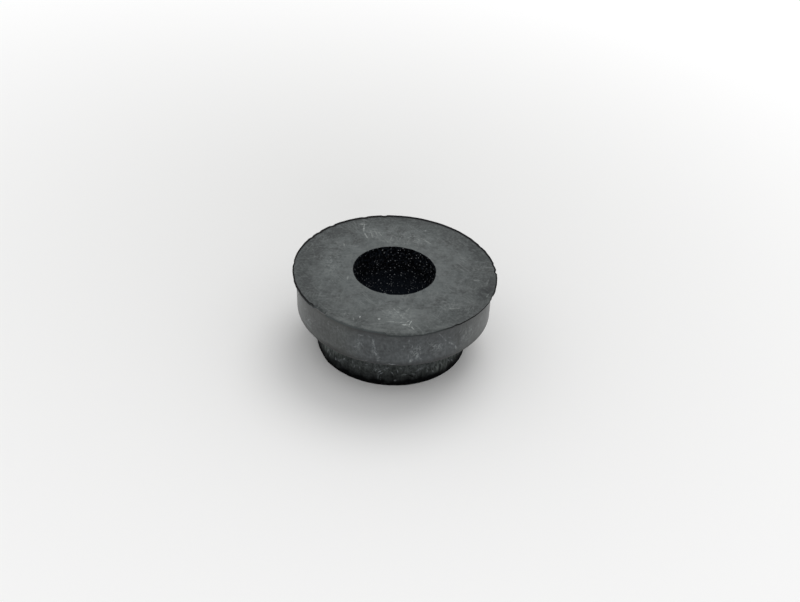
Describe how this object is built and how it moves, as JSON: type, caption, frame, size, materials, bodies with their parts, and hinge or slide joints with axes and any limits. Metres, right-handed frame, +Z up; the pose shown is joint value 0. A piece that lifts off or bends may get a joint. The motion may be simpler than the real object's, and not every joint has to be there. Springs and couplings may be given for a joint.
{
  "type": "rubber bushing",
  "caption": "Round moulded rubber bushing with a thick flange, a narrower spigot below it and one bore right through; torn flash rings the bearing face.",
  "frame": {"origin": "centre of the spigot's foot, on the surface that the bushing stands on", "axes": "+Z up along the bore's axis, from the spigot's foot to the bearing face; +X and +Y lie in the plane of the foot"},
  "size_m": [0.0398, 0.0398, 0.0165],
  "materials": {
    "moulded_rubber": "matt, scuffed and bloomed"
  },
  "bodies": {
    "root": {"bushing": "moulded_rubber"}
  },
  "joints": []
}
